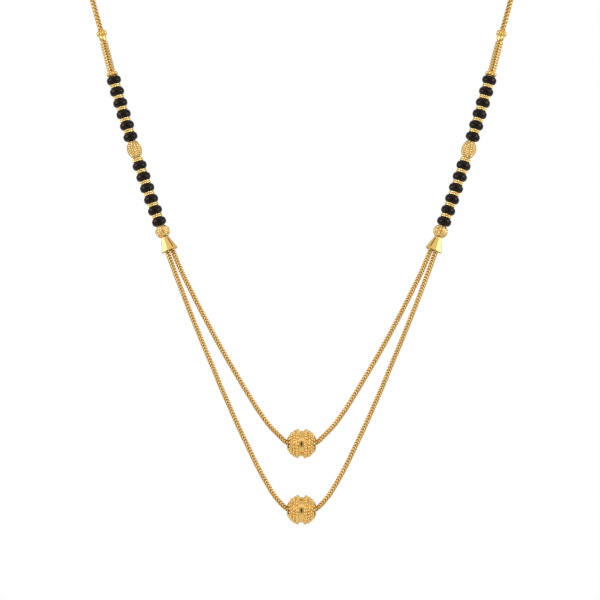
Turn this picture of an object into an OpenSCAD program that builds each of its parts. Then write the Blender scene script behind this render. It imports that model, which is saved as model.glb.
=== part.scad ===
/* [How it hangs] */
// Half the width between the two ball caps
cap_x = 50.55; // [46:0.05:56]
// How far the ball caps lie in front of the nape
front_y = 78; // [70:1:90]
// How far the ball caps lie below the nape
front_z = 52; // [44:1:60]
// How far the front leans out of the upright, with its foot forward
front_lean = 7; // [0:1:15]
// Lean of a string of beads at its upper end
string_lean = 13.9; // [11:0.1:16]
// Radius of the long bow of a string of beads
bow_r = 470; // [350:10:800]
// Drop from the cones' mouths to the inner strand's lowest point
inner_drop = 48.2; // [44:0.1:52]
// Drop from the cones' mouths to the outer strand's lowest point
outer_drop = 64.7; // [60:0.1:70]

/* [Black beads] */
// Beads between the flower cap and the oval bead
beads_above = 6; // [4:1:7]
// Beads between the oval bead and the round bead
beads_below = 6; // [4:1:7]
// Diameter of a black bead
bead_d = 3.65; // [3.2:0.05:4]
// Height of a black bead along the string
bead_h = 2.06; // [1.8:0.02:2.3]

/* [Gold beads] */
// Diameter of a spacer over its corners
spacer_d = 2.6; // [2.2:0.05:3]
// Height of a spacer
spacer_h = 0.82; // [0.7:0.02:1]
// Corners on each of a spacer's two rows
spacer_corners = 12; // [8:1:12]
// Bevel on a spacer's outer edges
spacer_bevel = 0.15; // [0.1:0.01:0.2]
// Diameter of the oval bead
oval_d = 3.8; // [3.2:0.05:4]
// Height of the oval bead
oval_h = 4.65; // [4.2:0.05:5.2]
// Diameter of the round bead
round_d = 3.7; // [3.2:0.05:4]
// Height of the round bead
round_h = 3.1; // [2.8:0.05:3.4]
// Diameter of the flat ends of the oval and the round bead
bead_end_d = 1.7; // [1.5:0.05:2]
// Diameter of a raised grain on the oval and the round bead
grain_d = 0.7; // [0.6:0.02:0.8]

/* [Caps, sleeve and cone] */
// Height of the ball cap
cap_h = 2.55; // [2.3:0.05:3]
// Diameter of the cap's core
cap_core_d = 1.7; // [1.5:0.05:2]
// Diameter of each of the cap's upper balls
cap_ball_d = 1.2; // [1:0.05:1.4]
// Distance of the upper balls from the cap's axis
cap_ball_r = 0.92; // [0.85:0.01:1.1]
// Diameter of each of the cap's lower drops
cap_drop_d = 1; // [0.8:0.05:1.2]
// Diameter of the woven sleeve
sleeve_d = 2.1; // [1.9:0.05:2.4]
// Length of the woven sleeve
sleeve_l = 8.25; // [7.5:0.05:9]
// Plaits round the sleeve
sleeve_plaits = 6; // [5:1:8]
// Height of the flower cap
flower_h = 1.05; // [0.9:0.05:1.2]
// Diameter of each of the flower cap's lobes
lobe_d = 1.35; // [1.2:0.05:1.5]
// Distance of the lobes from the flower cap's axis
lobe_r = 1.07; // [1:0.01:1.2]
// Diameter of the cone's mouth over its corners
mouth_d = 4.45; // [4.2:0.05:5]
// Diameter of the cone's top over its corners
cone_top_d = 2; // [1.8:0.05:2.3]
// Height of the cone
cone_h = 3.5; // [3.2:0.05:4]
// Sheet of the cone
cone_wall = 0.25; // [0.2:0.01:0.3]
// Flat sides of the cone
cone_sides = 8; // [8:1:12]

/* [Chains and thread] */
// Diameter of the thread inside the beads
thread_d = 0.45; // [0.35:0.05:0.5]
// Clearance round the thread
thread_gap = 0.12; // [0.1:0.01:0.15]
// Gap between pieces that meet on the string
piece_gap = 0.06; // [0.05:0.01:0.1]
// Diameter of the back chain
back_d = 1.4; // [1.2:0.05:1.6]
// Diameter of a front strand
strand_d = 1.25; // [1.1:0.05:1.3]
// Gap between the two strands in the cone
strand_gap = 0.12; // [0.1:0.01:0.15]
// How far the strands reach up into the cone
strand_in = 0.8; // [0.5:0.1:0.9]

/* [Granulated balls] */
// Diameter of a ball's polished body
ball_d = 6.34; // [6:0.02:7]
// Diameter of the polished end domes
dome_d = 7.6; // [7.2:0.02:7.9]
// Diameter of the bore that the strand runs through
ball_bore = 2.2; // [2:0.05:2.4]
// Diameter of a granule
granule_d = 0.74; // [0.66:0.02:0.8]
// How deep a granule is soldered into the body
granule_sink = 0.16; // [0.1:0.01:0.2]
// Distance between neighbouring granules
granule_pitch = 0.785; // [0.76:0.005:0.85]
// Width of the bare band round the middle
band_w = 1.25; // [1:0.05:1.6]
// Rows of granules on each side of the band
granule_rows = 4; // [3:1:4]

/* [Clasp] */
// Wire of the clasp
hook_wire = 1; // [0.8:0.05:1.1]
// Radius of each half of the clasp along its wire
hook_r = 1.8; // [1.7:0.05:2.2]
// Wire of an end ring
ring_wire = 0.7; // [0.6:0.05:0.75]
// Radius of an end ring along its wire
ring_r = 1.7; // [1.6:0.05:2]
// Clearance between the clasp, the rings and the chain
ring_gap = 0.12; // [0.1:0.01:0.2]

/* [Hidden] */
gold = "goldenrod";
black = "black";
round_fn = 32;
small_fn = 20;
tube_sides = 8;
thread_sides = 6;
eps = 0.01;
spacer_turn = 11;
cone_turn = 14.5;
hook_sweep = 285;
bore_d = thread_d + 2 * thread_gap;

// Lengths of the pieces on a string, from the ball cap down to the cone
function run(count) = [for (i = [1 : 2 * count - 1]) i % 2 == 1 ? bead_h : spacer_h];
lengths = concat([cap_h, sleeve_l, flower_h], run(beads_above), [oval_h, spacer_h],
    run(beads_below), [round_h, cone_h]);
at_cap = 0;
at_sleeve = 1;
at_flower = 2;
at_upper = 3;
at_oval = at_upper + 2 * beads_above - 1;
at_lower = at_oval + 2;
at_round = at_lower + 2 * beads_below - 1;
at_cone = at_round + 1;

// Distance along the string to a piece's top and to its middle
function top_of(i) = i < 1 ? 0 : top_of(i - 1) + lengths[i - 1] + piece_gap;
function middle_of(i) = top_of(i) + lengths[i] / 2;
mouth_s = top_of(at_cone) + cone_h;

// The string's lean, half width and drop at a distance s along it, in the front's plane
function lean(s) = string_lean + s / bow_r * 180 / PI;
function half_width(s) = cap_x + bow_r * (cos(lean(s)) - cos(string_lean));
function drop(s) = bow_r * (sin(lean(s)) - sin(string_lean));
function string_point(side, s) = [side * half_width(s), 0, -drop(s)];

// Strand routes from the cone's mouth to the ball, as shares of the half width at the
// mouth and of the strand's drop
inner_shares = [[0.916, 0.102], [0.845, 0.203], [0.77, 0.305], [0.693, 0.406], [0.612, 0.508],
    [0.527, 0.609], [0.439, 0.711], [0.348, 0.813], [0.298, 0.863], [0.24, 0.916], [0.166, 0.968]];
outer_shares = [[0.968, 0.076], [0.911, 0.153], [0.854, 0.229], [0.793, 0.306], [0.732, 0.382],
    [0.669, 0.458], [0.607, 0.535], [0.541, 0.611], [0.474, 0.688], [0.403, 0.764], [0.331, 0.84],
    [0.247, 0.917], [0.192, 0.959]];
// Back chain route from the ball cap to the nape, as shares of the cap's half width, of its
// distance in front of the nape and of its depth below it
back_shares = [[1.05, 0.98, 0.82], [1.085, 0.94, 0.62], [1.1, 0.85, 0.43], [1.08, 0.7, 0.28],
    [1, 0.5, 0.16], [0.82, 0.29, 0.08], [0.58, 0.13, 0.03], [0.32, 0.035, 0.01]];

// Where a strand passes through its ball, and how far the ball's middle hangs below it
ball_hang = (ball_bore - strand_d) / 2 - thread_gap;
ball_reach = dome_d / 2;
inner_low = drop(mouth_s) + inner_drop;
outer_low = drop(mouth_s) + outer_drop;

// Where the end ring and the chain's end lie beside the clasp
ring_x = 2 * hook_r - hook_wire / 2 - ring_gap - ring_wire / 2 + ring_r;
chain_end_x = ring_x + ring_r + ring_wire / 2 + ring_gap;

function two(i) = i < 10 ? str("0", i) : str(i);
side_names = ["left", "right"];
function side_sign(name) = name == "left" ? -1 : 1;
bead_total = beads_above + beads_below;
function bead_name(side, i) = str("black_bead_", side, "_", two(i));
PAIRS = ["back_chain", "end_ring", "ball_cap", "woven_sleeve", "flower_cap", "thread",
    "upper_spacers", "lower_spacers", "oval_bead", "round_bead", "cone"];

// Puts a shape made in the front's plane where the front hangs
module on_front() {
    translate([0, -front_y, -front_z]) rotate([-front_lean, 0, 0]) children();
}

// Puts a piece at a distance s along a string, with its axis along the string
module on_string(side, s) {
    on_front() translate(string_point(side, s)) rotate([0, side * lean(s), 0]) children();
}

// A smooth curve through the points, with steps stretches between each two
function curve_at(a, b, c, d, t) = 0.5 * (2 * b + (c - a) * t
    + (2 * a - 5 * b + 4 * c - d) * t * t + (3 * b - a - 3 * c + d) * t * t * t);
function smooth(p, steps) = concat(
    [for (i = [0 : len(p) - 2]) for (k = [0 : steps - 1])
        curve_at(p[max(i - 1, 0)], p[i], p[i + 1], p[min(i + 2, len(p) - 1)], k / steps)],
    [p[len(p) - 1]]);

// A round tube swept along a path; the side vector never lies along the path
function unit(v) = v / norm(v);
function heading(path, i) = unit(path[min(i + 1, len(path) - 1)] - path[max(i - 1, 0)]);
module tube(path, d, sides, side_vector) {
    rings = len(path);
    points = [for (i = [0 : rings - 1])
        let (t = heading(path, i), u = unit(cross(t, side_vector)), v = cross(t, u))
        for (k = [0 : sides - 1]) path[i] + d / 2 * (cos(360 * k / sides) * u + sin(360 * k / sides) * v)];
    walls = [for (i = [0 : rings - 2]) for (k = [0 : sides - 1])
        let (a = i * sides + k, b = i * sides + (k + 1) % sides) [a, a + sides, b + sides, b]];
    start = [for (k = [0 : sides - 1]) k];
    end = [for (k = [sides - 1 : -1 : 0]) (rings - 1) * sides + k];
    polyhedron(points, concat(walls, [start, end]), convexity = 10);
}

// A grain or granule every pitch round a ring of radius r, at height z
module ring_of_grains(r, z, d, pitch, turn) {
    count = floor(2 * PI * r / pitch);
    for (k = [0 : count - 1])
        rotate([0, 0, (k + turn) * 360 / count]) translate([r, 0, z]) sphere(d = d, $fn = small_fn);
}

// Black bead: a rounded glass rondelle with flat ends and a drilled hole
module black_bead() {
    color(black) rotate_extrude($fn = round_fn) intersection() {
        union() {
            translate([(bead_d - bead_h) / 2, 0]) circle(d = bead_h, $fn = round_fn);
            translate([0, -bead_h / 2]) square([(bead_d - bead_h) / 2, bead_h]);
        }
        translate([bore_d / 2, -bead_h]) square([bead_d, 2 * bead_h]);
    }
}

// Spacer: two rows of corners, the lower turned by half a corner, with bevelled edges
module spacer() {
    color(gold) difference() {
        intersection() {
            union() {
                cylinder(d = spacer_d, h = spacer_h / 2, $fn = spacer_corners);
                rotate([0, 0, 180 / spacer_corners]) translate([0, 0, -spacer_h / 2])
                    cylinder(d = spacer_d, h = spacer_h / 2, $fn = spacer_corners);
            }
            rotate_extrude($fn = round_fn) polygon([[0, -spacer_h / 2],
                [spacer_d / 2 - spacer_bevel, -spacer_h / 2], [spacer_d / 2, spacer_bevel - spacer_h / 2],
                [spacer_d / 2, spacer_h / 2 - spacer_bevel], [spacer_d / 2 - spacer_bevel, spacer_h / 2],
                [0, spacer_h / 2]]);
        }
        cylinder(d = bore_d, h = 2 * spacer_h, center = true, $fn = round_fn);
    }
}

// Grained bead: a barrel with flat ends, covered in rows of raised grains
function belly_r(d, h) = (pow(d - bead_end_d, 2) + pow(h, 2)) / 4 / (d - bead_end_d);
module grained_bead(outer_d, h) {
    d = outer_d - grain_d / 2;
    belly = belly_r(d, h);
    last = asin((h - grain_d) / 2 / belly);
    rows = floor(2 * last * PI / 180 * belly / grain_d);
    color(gold) difference() {
        union() {
            rotate_extrude($fn = round_fn) intersection() {
                translate([d / 2 - belly, 0]) circle(r = belly, $fn = 2 * round_fn);
                translate([0, -h / 2]) square([d, h]);
            }
            for (i = [0 : rows]) {
                a = last * (2 * i / rows - 1);
                ring_of_grains(d / 2 - belly + belly * cos(a), belly * sin(a), grain_d, grain_d, i % 2 / 2);
            }
        }
        cylinder(d = bore_d, h = 2 * h, center = true, $fn = round_fn);
    }
}

// Cone: a polished flat-sided sheet cup over the two strands' ends
module cone() {
    flat = cos(180 / cone_sides);
    roof = cone_h / 2 - cone_wall;
    taper = (mouth_d - cone_top_d) / cone_h;
    mouth_in = mouth_d - 2 * cone_wall / flat;
    roof_in = cone_top_d + taper * cone_wall - 2 * cone_wall / flat;
    color(gold) difference() {
        translate([0, 0, -cone_h / 2]) cylinder(d1 = mouth_d, d2 = cone_top_d, h = cone_h, $fn = cone_sides);
        translate([0, 0, -cone_h / 2 - eps])
            cylinder(d1 = mouth_in, d2 = roof_in, h = roof + cone_h / 2 + eps, $fn = cone_sides);
        cylinder(d = bore_d, h = 2 * cone_h, center = true, $fn = round_fn);
    }
}

// Flower cap: four lobes round a core, under the sleeve
module flower_cap() {
    color(gold) difference() {
        intersection() {
            union() {
                cylinder(r = lobe_r, h = flower_h, center = true, $fn = round_fn);
                for (k = [0 : 3])
                    rotate([0, 0, 45 + 90 * k]) translate([lobe_r, 0, 0]) sphere(d = lobe_d, $fn = round_fn);
            }
            cube([4 * lobe_r, 4 * lobe_r, flower_h], center = true);
        }
        cylinder(d = bore_d, h = 2 * flower_h, center = true, $fn = round_fn);
    }
}

// Ball cap: four balls over four drops, soldered round a core
module ball_cap() {
    ball_z = (cap_h - cap_ball_d) / 2;
    drop_z = (cap_drop_d - cap_h) / 2;
    drop_r = cap_core_d / 2 - cap_drop_d / 4;
    color(gold) difference() {
        union() {
            cylinder(d = cap_core_d, h = cap_h, center = true, $fn = round_fn);
            for (k = [0 : 3]) {
                rotate([0, 0, 45 + 90 * k]) translate([cap_ball_r, 0, ball_z])
                    sphere(d = cap_ball_d, $fn = round_fn);
                rotate([0, 0, 90 * k]) translate([drop_r, 0, drop_z])
                    sphere(d = cap_drop_d, $fn = round_fn);
            }
        }
        cylinder(d = bore_d, h = 2 * cap_h, center = true, $fn = round_fn);
    }
}

// Woven sleeve: plaits side by side round the thread
module woven_sleeve() {
    plait_r = sleeve_d / 2 * sin(180 / sleeve_plaits) / (1 + sin(180 / sleeve_plaits));
    color(gold) linear_extrude(sleeve_l, center = true) difference() {
        union() {
            circle(r = sleeve_d / 2 - plait_r, $fn = round_fn);
            for (k = [0 : sleeve_plaits - 1])
                rotate(360 * k / sleeve_plaits) translate([sleeve_d / 2 - plait_r, 0])
                    circle(r = plait_r, $fn = round_fn);
        }
        circle(d = bore_d, $fn = round_fn);
    }
}

// Thread: the wire inside a string, from the ball cap to the strands' ends in the cone
module thread(side) {
    foot = mouth_s - strand_in - strand_gap;
    steps = ceil(foot / bead_d);
    path = [for (i = [0 : steps]) string_point(side, piece_gap + (foot - piece_gap) * i / steps)];
    color(gold) on_front() tube(path, thread_d, thread_sides, [0, 1, 0]);
}

// Granulated ball: a bored body with polished end domes, a bare band and rows of granules
module granulated_ball(low) {
    row_r = (ball_d + granule_d) / 2 - granule_sink;
    step = granule_pitch / row_r * 180 / PI;
    first = asin((band_w + granule_d) / 2 / row_r);
    dome_x = row_r * sin(first + step * (granule_rows - 1)) + granule_d / 2;
    dome_r = sqrt(pow(dome_d / 2, 2) - pow(dome_x, 2));
    color(gold) on_front() translate([0, 0, -low - ball_hang]) rotate([0, 90, 0]) difference() {
        union() {
            sphere(d = ball_d, $fn = round_fn);
            intersection() {
                sphere(d = dome_d, $fn = round_fn);
                cylinder(r = dome_r, h = 2 * dome_d, center = true, $fn = round_fn);
            }
            for (end = [-1, 1]) for (i = [0 : granule_rows - 1]) {
                a = first + step * i;
                ring_of_grains(row_r * cos(a), end * row_r * sin(a), granule_d, granule_pitch, i % 2 / 2);
            }
        }
        cylinder(d = ball_bore, h = 2 * dome_d, center = true, $fn = round_fn);
    }
}

// Front strand: one tube from cone to cone, which carries its ball at the lowest point
function half_strand(side, shares, fall, offset) = let (
    w = half_width(mouth_s),
    start = string_point(1, mouth_s - strand_in),
    mouth = string_point(1, mouth_s),
    across = [cos(lean(mouth_s)), 0, -sin(lean(mouth_s))] * offset,
    flat = [for (reach = [ball_reach, ball_reach / 2]) [reach, 0, -drop(mouth_s) - fall]],
    pts = concat([start + across, mouth + across],
        [for (s = shares) [w * s[0], 0, -drop(mouth_s) - fall * s[1]]], flat)
    ) [for (p = pts) [side * p[0], p[1], p[2]]];
function flipped(list) = [for (i = [len(list) - 1 : -1 : 0]) list[i]];
module strand(shares, fall, offset) {
    path = concat(half_strand(-1, shares, fall, offset), [[0, 0, -drop(mouth_s) - fall]],
        flipped(half_strand(1, shares, fall, offset)));
    color(gold) on_front() tube(smooth(path, 2), strand_d, tube_sides, [0, 1, 0]);
}

// Back chain: one tube from the ball cap up, round the neck and to the end ring at the nape
module back_chain(side) {
    above = [0, -front_y, -front_z] + (piece_gap + eps) * [sin(string_lean),
        cos(string_lean) * sin(front_lean), cos(string_lean) * cos(front_lean)];
    route = concat([[cap_x, 0, 0] + above],
        [for (s = back_shares) [cap_x * s[0], -front_y * s[1], -front_z * s[2]]], [[chain_end_x, 0, 0]]);
    path = smooth([for (p = route) [side * p[0], p[1], p[2]]], 4);
    color(gold) tube(path, back_d, tube_sides, [side, 1, 0]);
}

// End ring: the link on the chain's end that hooks into the clasp
module end_ring(side) {
    color(gold) translate([side * ring_x, 0, 0]) rotate_extrude($fn = round_fn)
        translate([ring_r, 0]) circle(d = ring_wire, $fn = small_fn);
}

// Clasp: a plain hook of bent wire, one loop for each end ring
module clasp() {
    color(gold) rotate([90, 0, 0]) for (turn = [0, 180]) rotate([0, 0, turn])
        translate([hook_r, 0, 0]) rotate([0, 0, 180 - hook_sweep])
        rotate_extrude(angle = hook_sweep, $fn = round_fn)
            translate([hook_r, 0]) circle(d = hook_wire, $fn = small_fn);
}

// The spacers between the beads of a run that starts at a place on the string
module spacer_run(side, start, count) {
    for (i = [0 : count - 1])
        on_string(side, middle_of(start + 2 * i)) rotate([0, 0, spacer_turn * i]) spacer();
}

inner_offset = -(strand_d + strand_gap) / 2;
outer_offset = (strand_d + strand_gap) / 2;

for (name = side_names) {
    side = side_sign(name);
    back_chain(side);
    end_ring(side);
    on_string(side, middle_of(at_cap)) ball_cap();
    on_string(side, middle_of(at_sleeve)) woven_sleeve();
    on_string(side, middle_of(at_flower)) flower_cap();
    thread(side);
    spacer_run(side, at_upper + 1, beads_above - 1);
    spacer_run(side, at_oval + 1, beads_below);
    on_string(side, middle_of(at_oval)) grained_bead(oval_d, oval_h);
    on_string(side, middle_of(at_round)) grained_bead(round_d, round_h);
    on_string(side, middle_of(at_cone)) rotate([0, 0, side * cone_turn]) cone();
    for (i = [1 : bead_total])
        on_string(side, middle_of(i <= beads_above ? at_upper + 2 * (i - 1)
                : at_lower + 2 * (i - beads_above - 1))) black_bead();
}
strand(inner_shares, inner_drop, inner_offset);  // strand_inner
strand(outer_shares, outer_drop, outer_offset);  // strand_outer
granulated_ball(inner_low);  // ball_upper
granulated_ball(outer_low);  // ball_lower
clasp();
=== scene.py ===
import math

import bmesh
import bpy
from mathutils import Matrix, Vector, noise


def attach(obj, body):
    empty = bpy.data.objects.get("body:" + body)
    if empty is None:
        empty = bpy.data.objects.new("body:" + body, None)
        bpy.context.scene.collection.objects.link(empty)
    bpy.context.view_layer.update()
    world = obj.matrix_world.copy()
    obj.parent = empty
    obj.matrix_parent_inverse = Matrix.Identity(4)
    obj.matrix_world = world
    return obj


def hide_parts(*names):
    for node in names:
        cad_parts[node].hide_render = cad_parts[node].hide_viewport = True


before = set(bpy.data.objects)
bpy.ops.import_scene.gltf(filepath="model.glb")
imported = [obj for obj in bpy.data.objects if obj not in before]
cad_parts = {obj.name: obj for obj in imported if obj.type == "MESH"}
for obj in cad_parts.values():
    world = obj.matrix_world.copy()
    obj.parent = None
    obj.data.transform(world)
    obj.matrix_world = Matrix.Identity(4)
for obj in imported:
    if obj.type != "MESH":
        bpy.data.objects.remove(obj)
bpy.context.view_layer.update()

# The camera, the floor and the light
# The necklace hangs in the air over a pale floor, seen square from the front, between two
# softboxes in a pale tent.
mm = 0.001
view_w = 150 * mm
view_distance = 1.0
view_centre = Vector((-0.4, -86.33, -119.81)) * mm
sensor_w = 36
floor_z = -0.8
floor_r = 1.2
floor_sides = 96
softbox_size = (0.75, 0.55)
softbox_power = 3.9
softbox_x = 0.92
softbox_y = -0.48
softbox_z = 0.05

scene = bpy.context.scene
scene.view_settings.view_transform = "Standard"
camera = bpy.data.objects.new("camera", bpy.data.cameras.new("camera"))
camera.data.sensor_width = sensor_w
camera.data.lens = sensor_w * view_distance / view_w
camera.data.clip_end = 100
camera.location = view_centre - Vector((0, view_distance, 0))
camera.rotation_euler = (math.pi / 2, 0, 0)
scene.collection.objects.link(camera)
scene.camera = camera


def softbox(name, side):
    """A softbox on one side, that faces the middle of the necklace."""
    data = bpy.data.lights.new(name, "AREA")
    data.shape = "RECTANGLE"
    data.size, data.size_y = softbox_size
    data.energy = softbox_power
    lamp = bpy.data.objects.new(name, data)
    lamp.location = (side * softbox_x, softbox_y, softbox_z)
    lamp.rotation_euler = (view_centre - lamp.location).to_track_quat("-Z", "Y").to_euler()
    scene.collection.objects.link(lamp)


softbox("softbox_left", -1)
softbox("softbox_right", 1)

world = bpy.data.worlds.new("studio")
scene.world = world
world.use_nodes = True
sky = world.node_tree.nodes
sky_links = world.node_tree.links
seen = sky["Background"]
seen.inputs["Color"].default_value = (1, 1, 1, 1)
seen.inputs["Strength"].default_value = 1.0
around = sky.new("ShaderNodeBackground")
around.inputs["Strength"].default_value = 1.0
heading = sky.new("ShaderNodeTexCoord")
split = sky.new("ShaderNodeSeparateXYZ")
sky_links.new(heading.outputs["Generated"], split.inputs["Vector"])


def sky_step(source, start, end, low=0.0, high=1.0):
    """A soft step in the sky's brightness, from low to high."""
    step = sky.new("ShaderNodeMapRange")
    step.interpolation_type = "SMOOTHSTEP"
    step.inputs["From Min"].default_value = start
    step.inputs["From Max"].default_value = end
    step.inputs["To Min"].default_value = low
    step.inputs["To Max"].default_value = high
    sky_links.new(source, step.inputs["Value"])
    return step.outputs["Result"]


def sky_math(operation, a, b):
    """Two brightnesses put together."""
    node = sky.new("ShaderNodeMath")
    node.operation = operation
    for socket, value in zip(node.inputs, (a, b)):
        if isinstance(value, float):
            socket.default_value = value
        else:
            sky_links.new(value, socket)
    return node.outputs["Value"]


# The tent is brighter overhead. On the camera's side it has a bright panel high up, a dark
# opening round the lens that narrows upwards and downwards, and a thin dark seam over the panel.
tent_glow = 0.72
panel_glow = 0.42
overhead_glow = 0.22
opening_half_w = 0.2
opening_narrowing = 0.36
dark_share = 0.93
ahead = sky_step(split.outputs["Y"], -0.35, -0.75)
panel = sky_math("MULTIPLY", sky_step(split.outputs["Z"], 0.3, 0.45),
                 sky_step(split.outputs["Z"], 0.86, 0.8))
off_level = sky_math("ABSOLUTE", split.outputs["Z"], 0.0)
opening_w = sky_math("SUBTRACT", opening_half_w, sky_math("MULTIPLY", off_level, opening_narrowing))
opening = sky_math("LESS_THAN", sky_math("ABSOLUTE", split.outputs["X"], 0.0), opening_w)
opening_ends = sky_math("MULTIPLY", sky_step(split.outputs["Z"], -0.6, -0.45),
                        sky_step(split.outputs["Z"], 0.52, 0.46))
opening = sky_math("MULTIPLY", opening, opening_ends)
seam = sky_math("MULTIPLY", sky_step(split.outputs["Z"], 0.86, 0.88),
                sky_step(split.outputs["Z"], 0.93, 0.91))
shade = sky_math("MULTIPLY", ahead, sky_math("MAXIMUM", opening, seam))
glow = sky_math("ADD", tent_glow, sky_math("MULTIPLY", sky_math("MULTIPLY", ahead, panel), panel_glow))
glow = sky_math("ADD", glow, sky_step(split.outputs["Z"], 0.3, 0.7, 0.0, overhead_glow))
glow = sky_math("MULTIPLY", glow, sky_math("SUBTRACT", 1.0, sky_math("MULTIPLY", shade, dark_share)))
sky_links.new(glow, around.inputs["Strength"])
ray = sky.new("ShaderNodeLightPath")
choose = sky.new("ShaderNodeMixShader")
sky_links.new(ray.outputs["Is Camera Ray"], choose.inputs["Fac"])
sky_links.new(around.outputs["Background"], choose.inputs[1])
sky_links.new(seen.outputs["Background"], choose.inputs[2])
sky_links.new(choose.outputs["Shader"], sky["World Output"].inputs["Surface"])


def add_noise(tree, scale, detail=2.0):
    """A noise texture over the object's own coordinates."""
    coordinates = tree.nodes.new("ShaderNodeTexCoord")
    texture = tree.nodes.new("ShaderNodeTexNoise")
    texture.inputs["Scale"].default_value = scale
    texture.inputs["Detail"].default_value = detail
    tree.links.new(coordinates.outputs["Object"], texture.inputs["Vector"])
    return texture


def new_material(name):
    """A material with its Principled shader, as (material, node tree, shader)."""
    material = bpy.data.materials.new(name)
    material.use_nodes = True
    return material, material.node_tree, material.node_tree.nodes["Principled BSDF"]


bm = bmesh.new()
bmesh.ops.create_circle(bm, cap_ends=True, segments=floor_sides, radius=floor_r,
                        matrix=Matrix.Translation((0, 0, floor_z)))
floor_mesh = bpy.data.meshes.new("floor")
bm.to_mesh(floor_mesh)
bm.free()
floor = bpy.data.objects.new("floor", floor_mesh)
scene.collection.objects.link(floor)
paper, paper_tree, paper_shader = new_material("paper")
paper_shader.inputs["Roughness"].default_value = 0.9
paper_noise = add_noise(paper_tree, 3.0)
paper_ramp = paper_tree.nodes.new("ShaderNodeValToRGB")
paper_ramp.color_ramp.elements[0].color = (0.86, 0.86, 0.85, 1)
paper_ramp.color_ramp.elements[1].color = (0.9, 0.9, 0.89, 1)
paper_tree.links.new(paper_noise.outputs["Fac"], paper_ramp.inputs["Fac"])
paper_tree.links.new(paper_ramp.outputs["Color"], paper_shader.inputs["Base Color"])
floor_mesh.materials.append(paper)

# The two strings of beads
# Each side of the front is one string: a cap, a woven sleeve, a flower cap, twelve black beads
# with gold beads between them and a cone, all threaded on a wire that hangs in a long bow.
front_y = 78 * mm
front_z = 52 * mm
front_lean = math.radians(7)
cap_x = 50.55 * mm
string_lean = math.radians(13.9)
bow_r = 470 * mm
piece_gap = 0.06 * mm
cap_h = 2.55 * mm
sleeve_l = 8.25 * mm
flower_h = 1.05 * mm
bead_h = 2.06 * mm
spacer_h = 0.82 * mm
oval_h = 4.65 * mm
round_h = 3.1 * mm
cone_h = 3.5 * mm
beads_above = 6
beads_below = 6
thread_r = 0.225 * mm
thread_gap = 0.12 * mm
bore_r = thread_r + thread_gap

bead_run = ([bead_h, spacer_h] * beads_above)[:-1]
lengths = [cap_h, sleeve_l, flower_h] + bead_run + [oval_h, spacer_h]
lengths += ([bead_h, spacer_h] * beads_below)[:-1] + [round_h, cone_h]
at_cap, at_sleeve, at_flower, at_upper = 0, 1, 2, 3
at_oval = at_upper + 2 * beads_above - 1
at_lower = at_oval + 2
at_round = at_lower + 2 * beads_below - 1
at_cone = at_round + 1
sides = {"left": -1, "right": 1}
front = Matrix.Translation((0, -front_y, -front_z)) @ Matrix.Rotation(-front_lean, 4, "X")


def top_of(i):
    """The distance down a string to the top of its piece i."""
    return sum(lengths[:i]) + i * piece_gap


def middle_of(i):
    """The distance down a string to the middle of its piece i."""
    return top_of(i) + lengths[i] / 2


mouth_s = top_of(at_cone) + cone_h


def lean(s):
    """How far a string leans inwards from upright, at a distance s down it."""
    return string_lean + s / bow_r


def half_width(s):
    """A string's distance from the middle of the necklace, at a distance s down it."""
    return cap_x + bow_r * (math.cos(lean(s)) - math.cos(string_lean))


def drop(s):
    """How far below its top a string has come, at a distance s down it."""
    return bow_r * (math.sin(lean(s)) - math.sin(string_lean))


def on_string(side, s):
    """The place at a distance s down a string, with Z up along the string."""
    return (front @ Matrix.Translation((side * half_width(s), 0, -drop(s)))
            @ Matrix.Rotation(side * lean(s), 4, "Y"))


def turned(profile, steps, closed=False):
    """A bmesh turned round Z from a profile of (radius, height) points."""
    made = bmesh.new()
    verts = [made.verts.new((r, 0, z)) for r, z in profile]
    edges = [made.edges.new(pair) for pair in zip(verts, verts[1:])]
    if closed:
        edges.append(made.edges.new((verts[-1], verts[0])))
    bmesh.ops.spin(made, geom=verts + edges, axis=(0, 0, 1), cent=(0, 0, 0), steps=steps,
                   angle=2 * math.pi, use_merge=True)
    bmesh.ops.remove_doubles(made, verts=made.verts, dist=0.0001 * mm)
    bmesh.ops.recalc_face_normals(made, faces=made.faces)
    return made


def as_mesh(made, name="part"):
    """The mesh of a bmesh, which is freed."""
    mesh = bpy.data.meshes.new(name)
    made.to_mesh(mesh)
    made.free()
    return mesh


def add(made, mesh, place):
    """Adds a copy of a mesh to a bmesh, at a place."""
    copy = mesh.copy()
    copy.transform(place)
    made.from_mesh(copy)
    bpy.data.meshes.remove(copy)


def finish_piece(made, name, materials, nodes, crease=35):
    """Makes an object of a bmesh, smooth but for its sharp edges, that stands for CAD nodes."""
    mesh = as_mesh(made, name)
    mesh.shade_smooth()
    mesh.set_sharp_from_angle(angle=math.radians(crease))
    piece = bpy.data.objects.new(name, mesh)
    scene.collection.objects.link(piece)
    for material in materials:
        mesh.materials.append(material)
    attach(piece, "root")
    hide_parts(*nodes)
    return piece


def arc(centre_r, centre_z, radius, start, end, steps):
    """Profile points on an arc, with its angles in degrees from the outward direction."""
    angles = [math.radians(start + (end - start) * i / steps) for i in range(steps + 1)]
    return [(centre_r + radius * math.cos(a), centre_z + radius * math.sin(a)) for a in angles]


# Black beads
# Glass rondelles, drilled and fire-polished, threaded between gold spacers. Each is
# a little out of true and its surface is faintly wavy, as hand-cut glass is.
bead_d = 3.65 * mm
bead_sides = 40
bead_round = 0.92 * mm
bead_flat_r = bead_d / 2 - bead_round
bead_belly = 8
bead_steps = 8
bead_tilt = math.radians(2.2)
wave_size = 1.6 * mm
wave_depth = 0.012
glass_black = (0.004, 0.0025, 0.0022, 1)
glass_tint = (1, 0.8, 0.7, 1)

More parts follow.
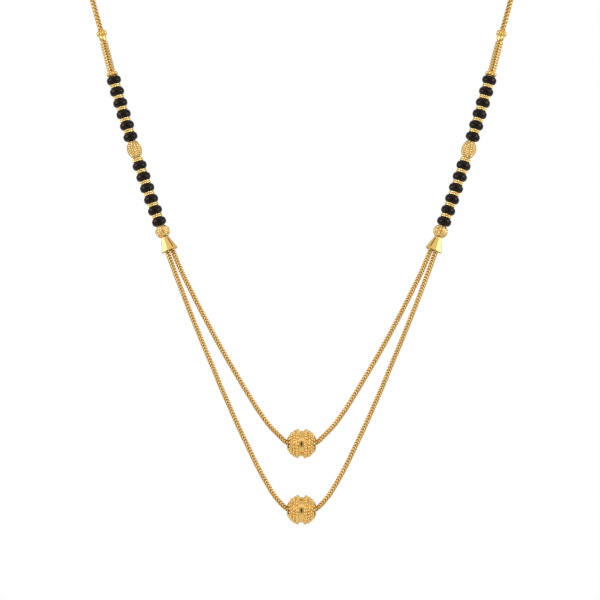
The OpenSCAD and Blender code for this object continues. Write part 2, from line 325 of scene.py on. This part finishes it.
black_glass, glass_tree, glass = new_material("black_glass")
glass.inputs["Base Color"].default_value = glass_black
glass.inputs["IOR"].default_value = 1.34
glass.inputs["Specular Tint"].default_value = glass_tint
glass_noise = add_noise(glass_tree, 700, 3)
glass_wear = glass_tree.nodes.new("ShaderNodeMapRange")
glass_wear.inputs["To Min"].default_value = 0.06
glass_wear.inputs["To Max"].default_value = 0.13
glass_tree.links.new(glass_noise.outputs["Fac"], glass_wear.inputs["Value"])
glass_tree.links.new(glass_wear.outputs["Result"], glass.inputs["Roughness"])
glass_bump = glass_tree.nodes.new("ShaderNodeBump")
glass_bump.inputs["Strength"].default_value = 0.25
glass_bump.inputs["Distance"].default_value = 0.05 * mm
glass_tree.links.new(glass_noise.outputs["Fac"], glass_bump.inputs["Height"])
glass_tree.links.new(glass_bump.outputs["Normal"], glass.inputs["Normal"])

bead_profile = [(bore_r, -bead_h / 2)]
bead_profile += arc(bead_flat_r, bead_round - bead_h / 2, bead_round, -90, -bead_belly, bead_steps)
bead_profile += arc(bead_flat_r, bead_h / 2 - bead_round, bead_round, bead_belly, 90, bead_steps)
bead_profile += [(bore_r, bead_h / 2)]
for side_name, side in sides.items():
    for i in range(beads_above + beads_below):
        spot = at_upper + 2 * i if i < beads_above else at_lower + 2 * (i - beads_above)
        bead = turned(bead_profile, bead_sides, closed=True)
        for vert in bead.verts:
            wave = noise.noise(vert.co / wave_size + Vector((7 * i, 3 * side, 0)))
            vert.co *= 1 + wave_depth * wave
        tilt = Matrix.Rotation(bead_tilt * math.sin(5 * i + side), 4, "Y")
        bmesh.ops.transform(bead, matrix=on_string(side, middle_of(spot)) @ tilt, verts=bead.verts)
        finish_piece(bead, f"glass_bead_{side_name}_{i + 1:02d}", [black_glass],
                     [f"black_bead_{side_name}_{i + 1:02d}"])

# Gold finishes
# All the metal is rich yellow gold. One group gives its colour, mottled, paler where it is
# finely worked, and darker and redder in the gaps of a piece, which is painted shade. Each finish sets its
# own gloss.
gold_pale = (0.9, 0.6, 0.21, 1)
gold_warm = (0.84, 0.53, 0.145, 1)
gold_frost = (0.93, 0.77, 0.37, 1)
# Painted shade: gold darkened and reddened as it looks in the gaps, where it reflects itself.
gold_gap_shade = (0.66, 0.28, 0.015, 1)

gold_group = bpy.data.node_groups.new("gold_colour", "ShaderNodeTree")
gold_group.interface.new_socket("Mottle scale", in_out="INPUT", socket_type="NodeSocketFloat")
gold_group.interface.new_socket("Frost", in_out="INPUT", socket_type="NodeSocketFloat")
gold_group.interface.new_socket("Depth", in_out="INPUT", socket_type="NodeSocketFloat")
gold_group.interface.new_socket("Colour", in_out="OUTPUT", socket_type="NodeSocketColor")
gold_group.interface.new_socket("Mottle", in_out="OUTPUT", socket_type="NodeSocketFloat")
group_in = gold_group.nodes.new("NodeGroupInput")
group_out = gold_group.nodes.new("NodeGroupOutput")
mottle = add_noise(gold_group, 300, 3)
gold_group.links.new(group_in.outputs["Mottle scale"], mottle.inputs["Scale"])
blend = gold_group.nodes.new("ShaderNodeMix")
blend.data_type = "RGBA"
whiten = gold_group.nodes.new("ShaderNodeMix")
whiten.data_type = "RGBA"
# Mixes in the painted gap shade by the Depth input.
gap_shading = gold_group.nodes.new("ShaderNodeMix")
gap_shading.data_type = "RGBA"


def colour_socket(sockets, name):
    """A Mix node's socket of that name that carries a colour."""
    return next(s for s in sockets if s.name == name and s.type == "RGBA")


colour_socket(blend.inputs, "A").default_value = gold_pale
colour_socket(blend.inputs, "B").default_value = gold_warm
colour_socket(whiten.inputs, "B").default_value = gold_frost
colour_socket(gap_shading.inputs, "B").default_value = gold_gap_shade
gold_group.links.new(mottle.outputs["Fac"], blend.inputs["Factor"])
gold_group.links.new(colour_socket(blend.outputs, "Result"), colour_socket(whiten.inputs, "A"))
gold_group.links.new(group_in.outputs["Frost"], whiten.inputs["Factor"])
gold_group.links.new(colour_socket(whiten.outputs, "Result"), colour_socket(gap_shading.inputs, "A"))
gold_group.links.new(group_in.outputs["Depth"], gap_shading.inputs["Factor"])
gold_group.links.new(colour_socket(gap_shading.outputs, "Result"), group_out.inputs["Colour"])
gold_group.links.new(mottle.outputs["Fac"], group_out.inputs["Mottle"])


def gold_finish(name, mottle_scale, smoothest, roughest, bump_mm, frost=0.0, depth=False):
    """A gold material whose gloss and bump follow the mottle."""
    material, tree, shader = new_material(name)
    shader.inputs["Metallic"].default_value = 1.0
    colour = tree.nodes.new("ShaderNodeGroup")
    colour.node_tree = gold_group
    colour.inputs["Mottle scale"].default_value = mottle_scale
    colour.inputs["Frost"].default_value = frost
    tree.links.new(colour.outputs["Colour"], shader.inputs["Base Color"])
    # With depth, the depth attribute paints shade into the piece's gaps.
    if depth:
        attribute = tree.nodes.new("ShaderNodeAttribute")
        attribute.attribute_name = "depth"
        tree.links.new(attribute.outputs["Fac"], colour.inputs["Depth"])
    gloss = tree.nodes.new("ShaderNodeMapRange")
    gloss.inputs["To Min"].default_value = smoothest
    gloss.inputs["To Max"].default_value = roughest
    tree.links.new(colour.outputs["Mottle"], gloss.inputs["Value"])
    tree.links.new(gloss.outputs["Result"], shader.inputs["Roughness"])
    bump = tree.nodes.new("ShaderNodeBump")
    bump.inputs["Strength"].default_value = 0.4
    bump.inputs["Distance"].default_value = bump_mm * mm
    tree.links.new(colour.outputs["Mottle"], bump.inputs["Height"])
    tree.links.new(bump.outputs["Normal"], shader.inputs["Normal"])
    return material


polished_gold = gold_finish("polished_gold", 500, 0.12, 0.22, 0.02)
cut_gold = gold_finish("cut_gold", 900, 0.2, 0.36, 0.05, frost=0.8, depth=True)
woven_gold = gold_finish("woven_gold", 1400, 0.2, 0.32, 0.04, frost=0.4, depth=True)
knitted_gold = gold_finish("knitted_gold", 1400, 0.24, 0.36, 0.04, frost=1.0, depth=True)
granulated_gold = gold_finish("granulated_gold", 1100, 0.36, 0.5, 0.04, frost=0.2, depth=True)


def set_depth(piece, depths):
    """Writes how deep each vertex lies, 0 at the surface and 1 in the gaps, where the gold finishes paint
    shade from it.
    """
    attribute = piece.data.attributes.new("depth", "FLOAT", "POINT")
    attribute.data.foreach_set("value", depths)


# Ball caps
# Four polished balls over four drops, soldered round a short tube, where the back chain
# ends and the sleeve begins.
cap_core_r = 0.85 * mm
cap_ball_r = 0.7 * mm
cap_ball_reach = 0.84 * mm
cap_drop_r = 0.36 * mm
cap_drop_h = 1.25 * mm

small_ball = bmesh.new()
bmesh.ops.create_uvsphere(small_ball, u_segments=20, v_segments=14, radius=1)
ball_mesh = as_mesh(small_ball)
for side_name, side in sides.items():
    cap = turned([(bore_r, -cap_h / 2), (cap_core_r * 0.8, -cap_h / 2), (cap_core_r, -cap_h * 0.3),
                  (cap_core_r, cap_h * 0.2), (cap_core_r * 0.75, cap_h / 2), (bore_r, cap_h / 2)],
                 24, closed=True)
    for k in range(4):
        quarter = math.radians(90 * k)
        upper = Matrix.Rotation(quarter + math.radians(45), 4, "Z") @ Matrix.Translation(
            (cap_ball_reach, 0, cap_h / 2 - cap_ball_r)) @ Matrix.Scale(cap_ball_r, 4)
        lower = Matrix.Rotation(quarter, 4, "Z") @ Matrix.Translation(
            (cap_core_r - cap_drop_r * 0.7, 0, cap_drop_h / 2 - cap_h / 2)) @ Matrix.Diagonal(
            (cap_drop_r, cap_drop_r * 0.9, cap_drop_h / 2, 1))
        add(cap, ball_mesh, upper)
        add(cap, ball_mesh, lower)
    bmesh.ops.transform(cap, matrix=on_string(side, middle_of(at_cap)), verts=cap.verts)
    finish_piece(cap, f"polished_cap_{side_name}", [polished_gold],
                 [f"ball_cap_{side_name}"])

# Woven sleeves
# A short thick tube knitted of fine wire in columns of V-shaped stitches, over a core.
sleeve_r = 1.05 * mm
sleeve_sides = 20
sleeve_columns = 6
stitch_pitch = 0.7 * mm
stitch_wire = 0.17 * mm
stitch_long = 0.35 * mm
stitch_slant = math.radians(-32)
stitch_spread = 0.22
core_r = sleeve_r - 2.4 * stitch_wire

grain = bmesh.new()
bmesh.ops.create_uvsphere(grain, u_segments=8, v_segments=6, radius=1)
grain_mesh = as_mesh(grain)
stitch_rows = int(sleeve_l / stitch_pitch)
for side_name, side in sides.items():
    sleeve = turned([(bore_r, -sleeve_l / 2), (core_r, -sleeve_l / 2), (core_r, sleeve_l / 2),
                     (bore_r, sleeve_l / 2)], sleeve_sides, closed=True)
    # The core gets full depth, so shade is painted on it between the stitches.
    depths = [1.0] * len(sleeve.verts)
    for row in range(stitch_rows):
        z = (row + 0.5 - stitch_rows / 2) * stitch_pitch
        for column in range(sleeve_columns):
            for limb in (-1, 1):
                turn = (column + limb * stitch_spread) * 2 * math.pi / sleeve_columns
                place = (Matrix.Rotation(turn, 4, "Z") @ Matrix.Translation((sleeve_r - stitch_wire, 0, z))
                         @ Matrix.Rotation(limb * stitch_slant, 4, "X")
                         @ Matrix.Diagonal((stitch_wire, stitch_wire, stitch_long, 1)))
                add(sleeve, grain_mesh, place)
                depths += [0.0] * len(grain_mesh.vertices)
    bmesh.ops.transform(sleeve, matrix=on_string(side, middle_of(at_sleeve)), verts=sleeve.verts)
    piece = finish_piece(sleeve, f"knitted_sleeve_{side_name}", [knitted_gold],
                         [f"woven_sleeve_{side_name}"])
    set_depth(piece, depths)

# Flower caps
# A cast cap of four round lobes under the sleeve.
lobe_r = 0.675 * mm
lobe_reach = 1.07 * mm
flower_end_r = lobe_reach * 0.85
for side_name, side in sides.items():
    flower = turned([(bore_r, -flower_h / 2), (flower_end_r, -flower_h / 2),
                     (lobe_reach, 0), (flower_end_r, flower_h / 2), (bore_r, flower_h / 2)],
                    24, closed=True)
    for k in range(4):
        add(flower, ball_mesh, Matrix.Rotation(math.radians(45 + 90 * k), 4, "Z")
            @ Matrix.Translation((lobe_reach, 0, 0))
            @ Matrix.Diagonal((lobe_r, lobe_r, flower_h / 2, 1)))
    bmesh.ops.transform(flower, matrix=on_string(side, middle_of(at_flower)), verts=flower.verts)
    finish_piece(flower, f"lobed_cap_{side_name}", [polished_gold],
                 [f"flower_cap_{side_name}"])

# Spacers
# Small gold rondelles between the black beads, milled with two rows of grains.
spacer_r = 1.36 * mm
spacer_core_r = spacer_r * 0.8
milled_grains = 18
milled_r = 0.25 * mm
milled_h = 0.27 * mm
milled_z = milled_h * 0.92
spacer_turn = math.radians(11)

cut_grain = bmesh.new()
bmesh.ops.create_icosphere(cut_grain, subdivisions=1, radius=1)
cut_grain_mesh = as_mesh(cut_grain)
spacer = turned([(bore_r, -spacer_h / 2), (spacer_core_r, -spacer_h / 2),
                 (spacer_core_r, spacer_h / 2), (bore_r, spacer_h / 2)], 28, closed=True)
# The core between the rows of grains gets some depth, so shade is painted on it.
spacer_depths = [0.4] * len(spacer.verts)
for row in (-1, 1):
    for k in range(milled_grains):
        turn = (k + 0.25 * row) * 2 * math.pi / milled_grains
        add(spacer, cut_grain_mesh, Matrix.Rotation(turn, 4, "Z")
            @ Matrix.Translation((spacer_r - milled_r * 0.8, 0, row * milled_z))
            @ Matrix.Diagonal((milled_r, milled_r, milled_h, 1)))
        spacer_depths += [0.0] * len(cut_grain_mesh.vertices)
spacer_mesh = as_mesh(spacer)
runs = {"upper": (at_upper + 1, beads_above - 1), "lower": (at_oval + 1, beads_below)}
for side_name, side in sides.items():
    for run_name, (start, count) in runs.items():
        run = bmesh.new()
        for i in range(count):
            add(run, spacer_mesh, on_string(side, middle_of(start + 2 * i))
                @ Matrix.Rotation(spacer_turn * i, 4, "Z"))
        piece = finish_piece(run, f"milled_spacers_{run_name}_{side_name}", [cut_gold],
                             [f"{run_name}_spacers_{side_name}"], crease=25)
        set_depth(piece, spacer_depths * count)

# Oval and round beads
# Hollow gold beads, worked all over with a cut relief: slanting grains on the oval one and
# a worm-like figure on the round one.
oval_r = 1.93 * mm
oval_cut = 0.3 * mm
round_r = 1.88 * mm
round_cut = 0.2 * mm
barrel_end_r = 0.85 * mm
relief_sides = 120
relief_steps = 64
grain_columns = 16
grain_pitch = 0.56 * mm
grain_slant = 0.9
grain_wander = 0.3
worm_size = 0.42 * mm
worm_sharpness = 2.6


def barrel_profile(radius, height, steps):
    """A barrel's profile between its flat ends."""
    belly = ((radius - barrel_end_r) ** 2 + (height / 2) ** 2) / 2 / (radius - barrel_end_r)
    half = math.degrees(math.asin(height / 2 / belly))
    return arc(radius - belly, 0, belly, -half, half, steps)


def slanting_grains(turn, z, radius):
    """Columns of slanting grains, each leaning the other way; 0 in a gap, 1 on a grain."""
    at = turn / (2 * math.pi) * grain_columns
    column = math.floor(at)
    across = at - column - 0.5
    wander = grain_wander * noise.noise(Vector((math.cos(turn) * 2, math.sin(turn) * 2, z / mm)))
    along = z / grain_pitch + (grain_slant if column % 2 else -grain_slant) * across + wander
    return abs(math.cos(math.pi * along)) ** 0.7 * math.cos(0.85 * math.pi * across) ** 0.5


def worm_figure(turn, z, radius):
    """Wandering ridges; 0 in a groove and 1 on a ridge."""
    at = Vector((math.cos(turn) * radius, math.sin(turn) * radius, z)) / worm_size
    return max(0.0, 1 - worm_sharpness * abs(noise.noise(at))) ** 0.7


def relief_bead(name, node, place, radius, height, figure, depth):
    """A barrel whose surface is pushed in where the figure is low."""
    bead = turned([(bore_r, -height / 2)] + barrel_profile(radius, height, relief_steps)
                  + [(bore_r, height / 2)], relief_sides, closed=True)
    depths = []
    for vert in bead.verts:
        reach = math.hypot(vert.co.x, vert.co.y)
        if reach < barrel_end_r * 0.97:
            depths.append(0.0)
            continue
        high = figure(math.atan2(vert.co.y, vert.co.x), vert.co.z, reach)
        vert.co *= 1 - depth * (1 - high) / radius
        # The grooves get depth, so shade is painted into them.
        depths.append(0.8 * (1 - high))
    bmesh.ops.transform(bead, matrix=place, verts=bead.verts)
    piece = finish_piece(bead, name, [cut_gold], [node], crease=60)
    set_depth(piece, depths)


for side_name, side in sides.items():
    relief_bead(f"cut_oval_{side_name}", f"oval_bead_{side_name}",
                on_string(side, middle_of(at_oval)), oval_r, oval_h, slanting_grains, oval_cut)
    relief_bead(f"cut_round_{side_name}", f"round_bead_{side_name}",
                on_string(side, middle_of(at_round)), round_r, round_h, worm_figure, round_cut)

# Cones
# Eight-sided cups folded of polished sheet, open below, that cover the two strands' ends.
# A dark gold rod down one edge at the front paints the dark reflection along that edge.
cone_sides = 8
cone_turn = math.radians(14.5)
mouth_r = 2.225 * mm
cone_top_r = 1 * mm
cone_wall = 0.25 * mm
edge_soft = 0.06 * mm
reflection_turn = math.radians(59.5)
reflection_rod_r = 0.14 * mm
reflection_rod_l = cone_h * 0.78
# Gold at full depth, darkened further in value: the colour of the painted dark reflection.
painted_reflection_gold = gold_finish("painted_reflection_gold", 500, 0.35, 0.5, 0.02)
painted_reflection_tree = painted_reflection_gold.node_tree
painted_reflection_colour = painted_reflection_tree.nodes["Group"]
painted_reflection_colour.inputs["Depth"].default_value = 1.0
reflection_darkening = painted_reflection_tree.nodes.new("ShaderNodeHueSaturation")
reflection_darkening.inputs["Value"].default_value = 0.26
painted_reflection_tree.links.new(painted_reflection_colour.outputs["Colour"], reflection_darkening.inputs["Color"])
painted_reflection_tree.links.new(reflection_darkening.outputs["Color"], painted_reflection_tree.nodes["Principled BSDF"].inputs["Base Color"])
# The rod that carries the painted dark reflection down the cone's edge.
reflection_rod = bmesh.new()
bmesh.ops.create_cone(reflection_rod, cap_ends=True, segments=8, radius1=reflection_rod_r, radius2=reflection_rod_r,
                      depth=reflection_rod_l)
for face in reflection_rod.faces:
    face.material_index = 1
reflection_rod_mesh = as_mesh(reflection_rod)
for side_name, side in sides.items():
    cone = bmesh.new()
    bmesh.ops.create_cone(cone, cap_ends=True, segments=cone_sides, radius1=mouth_r,
                          radius2=cone_top_r, depth=cone_h)
    bmesh.ops.rotate(cone, cent=(0, 0, 0), verts=cone.verts, matrix=Matrix.Rotation(
        side * cone_turn + math.pi / 2, 3, "Z"))
    mouth = min(cone.faces, key=lambda face: face.calc_center_median().z)
    bmesh.ops.inset_region(cone, faces=[mouth], thickness=cone_wall)
    grown = bmesh.ops.extrude_face_region(cone, geom=[mouth])["geom"]
    bmesh.ops.delete(cone, geom=[mouth], context="FACES_ONLY")
    for vert in (v for v in grown if isinstance(v, bmesh.types.BMVert)):
        shrink = (cone_top_r - cone_wall * 0.6) / vert.co.xy.length
        vert.co = Vector((vert.co.x * shrink, vert.co.y * shrink, cone_h / 2 - cone_wall))
    ribs = [e for e in cone.edges if abs(e.verts[0].co.z - e.verts[1].co.z) > cone_h * 0.9
            and max(v.co.xy.length for v in e.verts) > mouth_r - 0.01 * mm]
    rims = [e for e in cone.edges if all(abs(v.co.z + cone_h / 2) < 0.001 * mm for v in e.verts)
            and min(v.co.xy.length for v in e.verts) > mouth_r - 0.01 * mm]
    bmesh.ops.bevel(cone, geom=ribs + rims, offset=edge_soft, offset_type="OFFSET", segments=1,
                    profile=0.5, affect="EDGES", material=-1, clamp_overlap=True)
    bmesh.ops.recalc_face_normals(cone, faces=cone.faces)
    slope = math.atan2(mouth_r - cone_top_r, cone_h)
    add(cone, reflection_rod_mesh, Matrix.Rotation(side * reflection_turn + (math.pi if side > 0 else 0), 4, "Z")
        @ Matrix.Translation(((mouth_r + cone_top_r) / 2 - reflection_rod_r * 0.5, 0, 0))
        @ Matrix.Rotation(-slope, 4, "Y"))
    bmesh.ops.transform(cone, matrix=on_string(side, middle_of(at_cone)), verts=cone.verts)
    finish_piece(cone, f"folded_cone_{side_name}", [polished_gold, painted_reflection_gold],
                 [f"cone_{side_name}"], crease=12)


# Chain stitch
# One turn of the woven chain: a closed wire ring bent up at two opposite sides and down at
# the other two, so that the rings stack into rows of V shapes round a core of wires.
def placed(path, i, closed, up):
    """The place at a point of a path, with Z along the path and X towards up."""
    before = path[i - 1] if i or closed else path[i]
    after = path[(i + 1) % len(path)] if i < len(path) - 1 or closed else path[i]
    ahead = (after - before).normalized()
    across = ahead.cross(up).normalized()
    turn = Matrix((across.cross(ahead), across, ahead)).transposed().to_4x4()
    return Matrix.Translation(path[i]) @ turn


def wire(path, radius, sides_round, ups, closed=False):
    """A bmesh of round wire along a path, mitred at its bends; ups holds the way up at each point."""
    made = bmesh.new()
    places = []
    for i in range(len(path)):
        place = placed(path, i, closed, ups[i])
        near_end = i == len(path) - 1 and not closed
        onward = path[i] - path[i - 1] if near_end else path[(i + 1) % len(path)] - path[i]
        mitre = 1 / max(0.5, place.col[2].xyz.dot(onward.normalized()))
        places.append(place @ Matrix.Diagonal((1, mitre, 1, 1)))
    bmesh.ops.create_circle(made, segments=sides_round, radius=radius, matrix=places[0])
    first = edges = made.edges[:]
    for before, after in zip(places, places[1:]):
        grown = bmesh.ops.extrude_edge_only(made, edges=edges)["geom"]
        edges = [g for g in grown if isinstance(g, bmesh.types.BMEdge)]
        verts = [g for g in grown if isinstance(g, bmesh.types.BMVert)]
        bmesh.ops.transform(made, matrix=after @ before.inverted(), verts=verts)
    if closed:
        bmesh.ops.bridge_loops(made, edges=first + edges)
    else:
        bmesh.ops.holes_fill(made, edges=first + edges, sides=sides_round)
    bmesh.ops.recalc_face_normals(made, faces=made.faces)
    return made


def stitch(chain_r, wire_r, rise, steps=16, sides_round=6):
    """One bent ring of a chain, with how deep each of its vertices lies."""
    reach = chain_r - wire_r
    path, ups = [], []
    for i in range(steps):
        t = 2 * math.pi * i / steps
        height = rise * (1 - 2 * abs((2 * t / math.pi) % 2 - 1))
        bulge = 1 - 0.06 * (1 - abs(height) / rise)
        path.append(Vector((reach * bulge * math.cos(t), reach * bulge * math.sin(t), height)))
        ups.append(Vector((math.cos(t), math.sin(t), 0)))
    mesh = as_mesh(wire(path, wire_r, sides_round, ups, closed=True))
    # Vertices nearer the chain's axis get more depth, so shade is painted into the weave's gaps.
    bright_r = chain_r * 0.78
    dark_r = chain_r * 0.38
    depths = [min(1.0, max(0.0, (bright_r - v.co.xy.length) / (bright_r - dark_r)))
              for v in mesh.vertices]
    return mesh, depths


def smooth(points, steps):
    """A smooth curve through the points."""
    curve = []
    for i in range(len(points) - 1):
        a, b = points[max(i - 1, 0)], points[i]
        c, d = points[i + 1], points[min(i + 2, len(points) - 1)]
        for k in range(steps):
            t = k / steps
            curve.append(0.5 * (2 * b + (c - a) * t + (2 * a - 5 * b + 4 * c - d) * t * t
                                + (3 * b - a - 3 * c + d) * t * t * t))
    return curve + [points[-1]]


def even(path, pitch):
    """Points along a path, as close to a pitch apart as gives a whole number of steps."""
    whole = sum((b - a).length for a, b in zip(path, path[1:]))
    pitch = whole / round(whole / pitch)
    points, left = [path[0]], pitch
    for a, b in zip(path, path[1:]):
        run = (b - a).length
        done = left
        while done <= run + 0.001 * mm:
            points.append(a + (b - a) * (done / run))
            done += pitch
        left = done - run
    return points


def chain(name, node, halves, up, chain_r, wire_r, core_r, pitch, rise, turn_at):
    """A woven chain along one or two halves of a path, each rising, that replaces a CAD tube.

    turn_at gives how far the weave is turned at a distance along a half.
    """
    link, link_depths = stitch(chain_r, wire_r, rise)
    woven = bmesh.new()
    depths = []
    for half, side in halves:
        spots = even(half, pitch)
        core = as_mesh(wire(spots, core_r, 8, [up] * len(spots)))
        add(woven, core, Matrix.Identity(4))
        # The core is nearly at full depth, so it is painted in shade.
        depths += [0.9] * len(core.vertices)
        for i in range(len(spots) - 1):
            turn = Matrix.Rotation(side * turn_at(i * pitch), 4, "Z")
            add(woven, link, placed(spots, i, False, up) @ turn @ Matrix.Translation((0, 0, pitch / 2)))
            depths += link_depths
    piece = finish_piece(woven, name, [woven_gold], [node], crease=70)
    set_depth(piece, depths)


# Front strands
# Two woven chains hang from cone to cone, one inside the other, each through its ball.
strand_r = 0.66 * mm
strand_wire = 0.17 * mm
strand_core = 0.4 * mm
strand_pitch = 0.74 * mm
strand_rise = 0.4 * mm
strand_twist = -math.pi / 2 - 0.28
strand_sway = 0.12
sway_l = 9 * mm
strand_offset = 0.685 * mm
strand_in = 0.8 * mm
dome_r = 3.8 * mm
inner_drop = 48.2 * mm
outer_drop = 64.7 * mm
inner_shares = [
    (0.916, 0.102), (0.845, 0.203), (0.77, 0.305), (0.693, 0.406), (0.612, 0.508), (0.527, 0.609),
    (0.439, 0.711), (0.348, 0.813), (0.298, 0.863), (0.24, 0.916), (0.166, 0.968)]
outer_shares = [
    (0.968, 0.076), (0.911, 0.153), (0.854, 0.229), (0.793, 0.306), (0.732, 0.382), (0.669, 0.458),
    (0.607, 0.535), (0.541, 0.611), (0.474, 0.688), (0.403, 0.764), (0.331, 0.84), (0.247, 0.917),
    (0.192, 0.959)]


def half_strand(shares, fall, offset):
    """Points of a strand from the right cone to its ball, in the front's plane."""
    across = Vector((math.cos(lean(mouth_s)), 0, -math.sin(lean(mouth_s)))) * offset
    start = mouth_s - strand_in
    low = drop(mouth_s) + fall
    points = [Vector((half_width(start), 0, -drop(start))) + across,
              Vector((half_width(mouth_s), 0, -drop(mouth_s))) + across]
    points += [Vector((half_width(mouth_s) * x, 0, -drop(mouth_s) - fall * w)) for x, w in shares]
    return points + [Vector((dome_r, 0, -low)), Vector((dome_r / 2, 0, -low))]


def strand_halves(shares, fall, offset):
    """A strand's two halves, each from the ball's middle up to its cone, with its side."""
    right = half_strand(shares, fall, offset)[::-1]
    low = Vector((0, 0, -drop(mouth_s) - fall))
    whole = smooth([Vector((-p.x, p.y, p.z)) for p in right[::-1]] + [low] + right, 6)
    middle = len(whole) // 2
    return [([front @ p for p in whole[middle:]], 1), ([front @ p for p in whole[middle::-1]], -1)]


def strand_turn(s):
    """How far the weave of a strand has turned round its axis at a distance from the ball."""
    return strand_twist - strand_sway * math.sin(s / sway_l)


for name, shares, fall, offset in (("inner", inner_shares, inner_drop, -strand_offset),
                                   ("outer", outer_shares, outer_drop, strand_offset)):
    chain(f"woven_strand_{name}", f"strand_{name}", strand_halves(shares, fall, offset),
          Vector((0, -1, 0)), strand_r, strand_wire, strand_core, strand_pitch, strand_rise, strand_turn)

# Back chains
# Thicker chains of the same weave run from the ball caps round the neck to the nape.
back_r = 0.76 * mm
back_wire = 0.23 * mm
back_core = 0.36 * mm
back_pitch = 0.96 * mm
back_rise = 0.4 * mm
back_turn = math.radians(-8)
hook_wire_r = 0.5 * mm
hook_r = 1.8 * mm
ring_wire_r = 0.35 * mm
ring_r = 1.7 * mm
ring_gap = 0.12 * mm
back_shares = [
    (1.05, 0.98, 0.82), (1.085, 0.94, 0.62), (1.1, 0.85, 0.43), (1.08, 0.7, 0.28), (1, 0.5, 0.16),
    (0.82, 0.29, 0.08), (0.58, 0.13, 0.03), (0.32, 0.035, 0.01)]
ring_x = 2 * hook_r - hook_wire_r - ring_gap - ring_wire_r + ring_r
chain_end_x = ring_x + ring_r + ring_wire_r + ring_gap
hair = 0.01 * mm
cap_axis = Vector((math.sin(string_lean), math.cos(string_lean) * math.sin(front_lean),
                   math.cos(string_lean) * math.cos(front_lean)))
chain_start = Vector((cap_x, -front_y, -front_z)) + (piece_gap + hair) * cap_axis
for side_name, side in sides.items():
    route = [chain_start]
    route += [Vector((cap_x * x, -front_y * y, -front_z * z)) for x, y, z in back_shares]
    route.append(Vector((chain_end_x, 0, 0)))
    path = smooth([Vector((side * p.x, p.y, p.z)) for p in route], 12)
    chain(f"woven_back_chain_{side_name}", f"back_chain_{side_name}", [(path, side)],
          Vector((-side, -1, 0)), back_r, back_wire, back_core, back_pitch, back_rise,
          lambda s: back_turn)

# Clasp, end rings and threads
# A plain S hook of bent wire at the nape, a soldered ring on each chain's end, and the wire
# that each string of beads is threaded on.
hook_sweep = math.radians(285)
hook_steps = 40
ring_profile = arc(ring_r, 0, ring_wire_r, 0, 330, 11)
for side_name, side in sides.items():
    ring = turned(ring_profile, 48, closed=True)
    bmesh.ops.transform(ring, matrix=Matrix.Translation((side * ring_x, 0, 0)), verts=ring.verts)
    finish_piece(ring, f"soldered_ring_{side_name}", [polished_gold],
                 [f"end_ring_{side_name}"])

half_hook = []
for i in range(hook_steps + 1):
    turn = math.pi - hook_sweep * (1 - i / hook_steps)
    half_hook.append(Vector((hook_r + hook_r * math.cos(turn), 0, hook_r * math.sin(turn))))
other_half = [Vector((-p.x, 0, -p.z)) for p in half_hook[::-1]]
hook_path = half_hook + other_half[1:]
hook = wire(hook_path, hook_wire_r, 14, [Vector((0, 1, 0))] * len(hook_path))
finish_piece(hook, "bent_hook", [polished_gold], ["clasp"], crease=50)

for side_name in sides:
    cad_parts[f"thread_{side_name}"].data.materials.clear()
    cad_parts[f"thread_{side_name}"].data.materials.append(polished_gold)

# Granulated balls
# Hollow polished balls with a dome at each end and a bare band round the middle, covered
# between them with rows of soldered granules.
ball_r = 3.17 * mm
ball_bore_r = 1.1 * mm
granule_r = 0.42 * mm
granule_sink = 0.16 * mm
granule_pitch = 0.785 * mm
band_w = 1.25 * mm
granule_rows = 4
body_r = 3.45 * mm
row_r = ball_r + granule_r - granule_sink
row_step = granule_pitch / row_r
row_first = math.asin((band_w / 2 + granule_r) / row_r)
dome_x = row_r * math.sin(row_first + row_step * (granule_rows - 1)) + granule_r
ball_turn = math.radians(92)
cad_strand_r = 0.625 * mm
ball_hang = ball_bore_r - cad_strand_r - thread_gap
wobble_size = 0.12 * granule_r
shift_size = 0.22 * granule_r

granule = bmesh.new()
bmesh.ops.create_icosphere(granule, subdivisions=2, radius=granule_r)
granule_mesh = as_mesh(granule)
dome_start = math.degrees(math.asin(dome_x / dome_r))
dome_end = math.degrees(math.acos(ball_bore_r / dome_r))
band_end = math.degrees(math.asin(band_w / 2 / ball_r))
band = arc(0, 0, ball_r, -band_end, band_end, 8)
upper_half = arc(0, 0, body_r, band_end + 2, 70, 14) + arc(0, 0, dome_r, dome_start, dome_end, 10)
ball_profile = [(r, -z) for r, z in upper_half[::-1]] + band + upper_half
for name, fall in (("upper", inner_drop), ("lower", outer_drop)):
    ball = turned(ball_profile, 72, closed=True)
    # The body between the granules gets some depth, so shade is painted between them.
    depths = [0.3 if abs(v.co.length - body_r) < 0.02 * mm else 0.0 for v in ball.verts]
    for face in ball.faces:
        middle = face.calc_center_median()
        if abs(middle.z) < band_w / 2 or abs(middle.z) > dome_x:
            face.material_index = 1
    for end in (-1, 1):
        for row in range(granule_rows):
            angle = row_first + row_step * row
            around_r = row_r * math.cos(angle)
            count = math.floor(2 * math.pi * around_r / granule_pitch)
            for k in range(count):
                turn = (k + (0.5 if row % 2 else 0)) * 2 * math.pi / count
                wobble = wobble_size * math.sin(7.3 * k + 3.1 * row + end)
                shift = shift_size * math.sin(4.7 * k + 5.9 * row - end)
                add(ball, granule_mesh, Matrix.Rotation(turn, 4, "Z")
                    @ Matrix.Translation((around_r, wobble, end * row_r * math.sin(angle) + shift)))
                # Each granule's side towards the ball gets depth: painted shade under it.
                depths += [max(0.0, min(1.0, 0.3 - v.co.x / granule_r)) * 0.3
                           for v in granule_mesh.vertices]
    place = (front @ Matrix.Translation((0, 0, -drop(mouth_s) - fall - ball_hang))
             @ Matrix.Rotation(ball_turn, 4, "Y"))
    bmesh.ops.transform(ball, matrix=place, verts=ball.verts)
    piece = finish_piece(ball, f"granulated_ball_{name}",
                         [granulated_gold, polished_gold], [f"ball_{name}"], crease=50)
    set_depth(piece, depths)
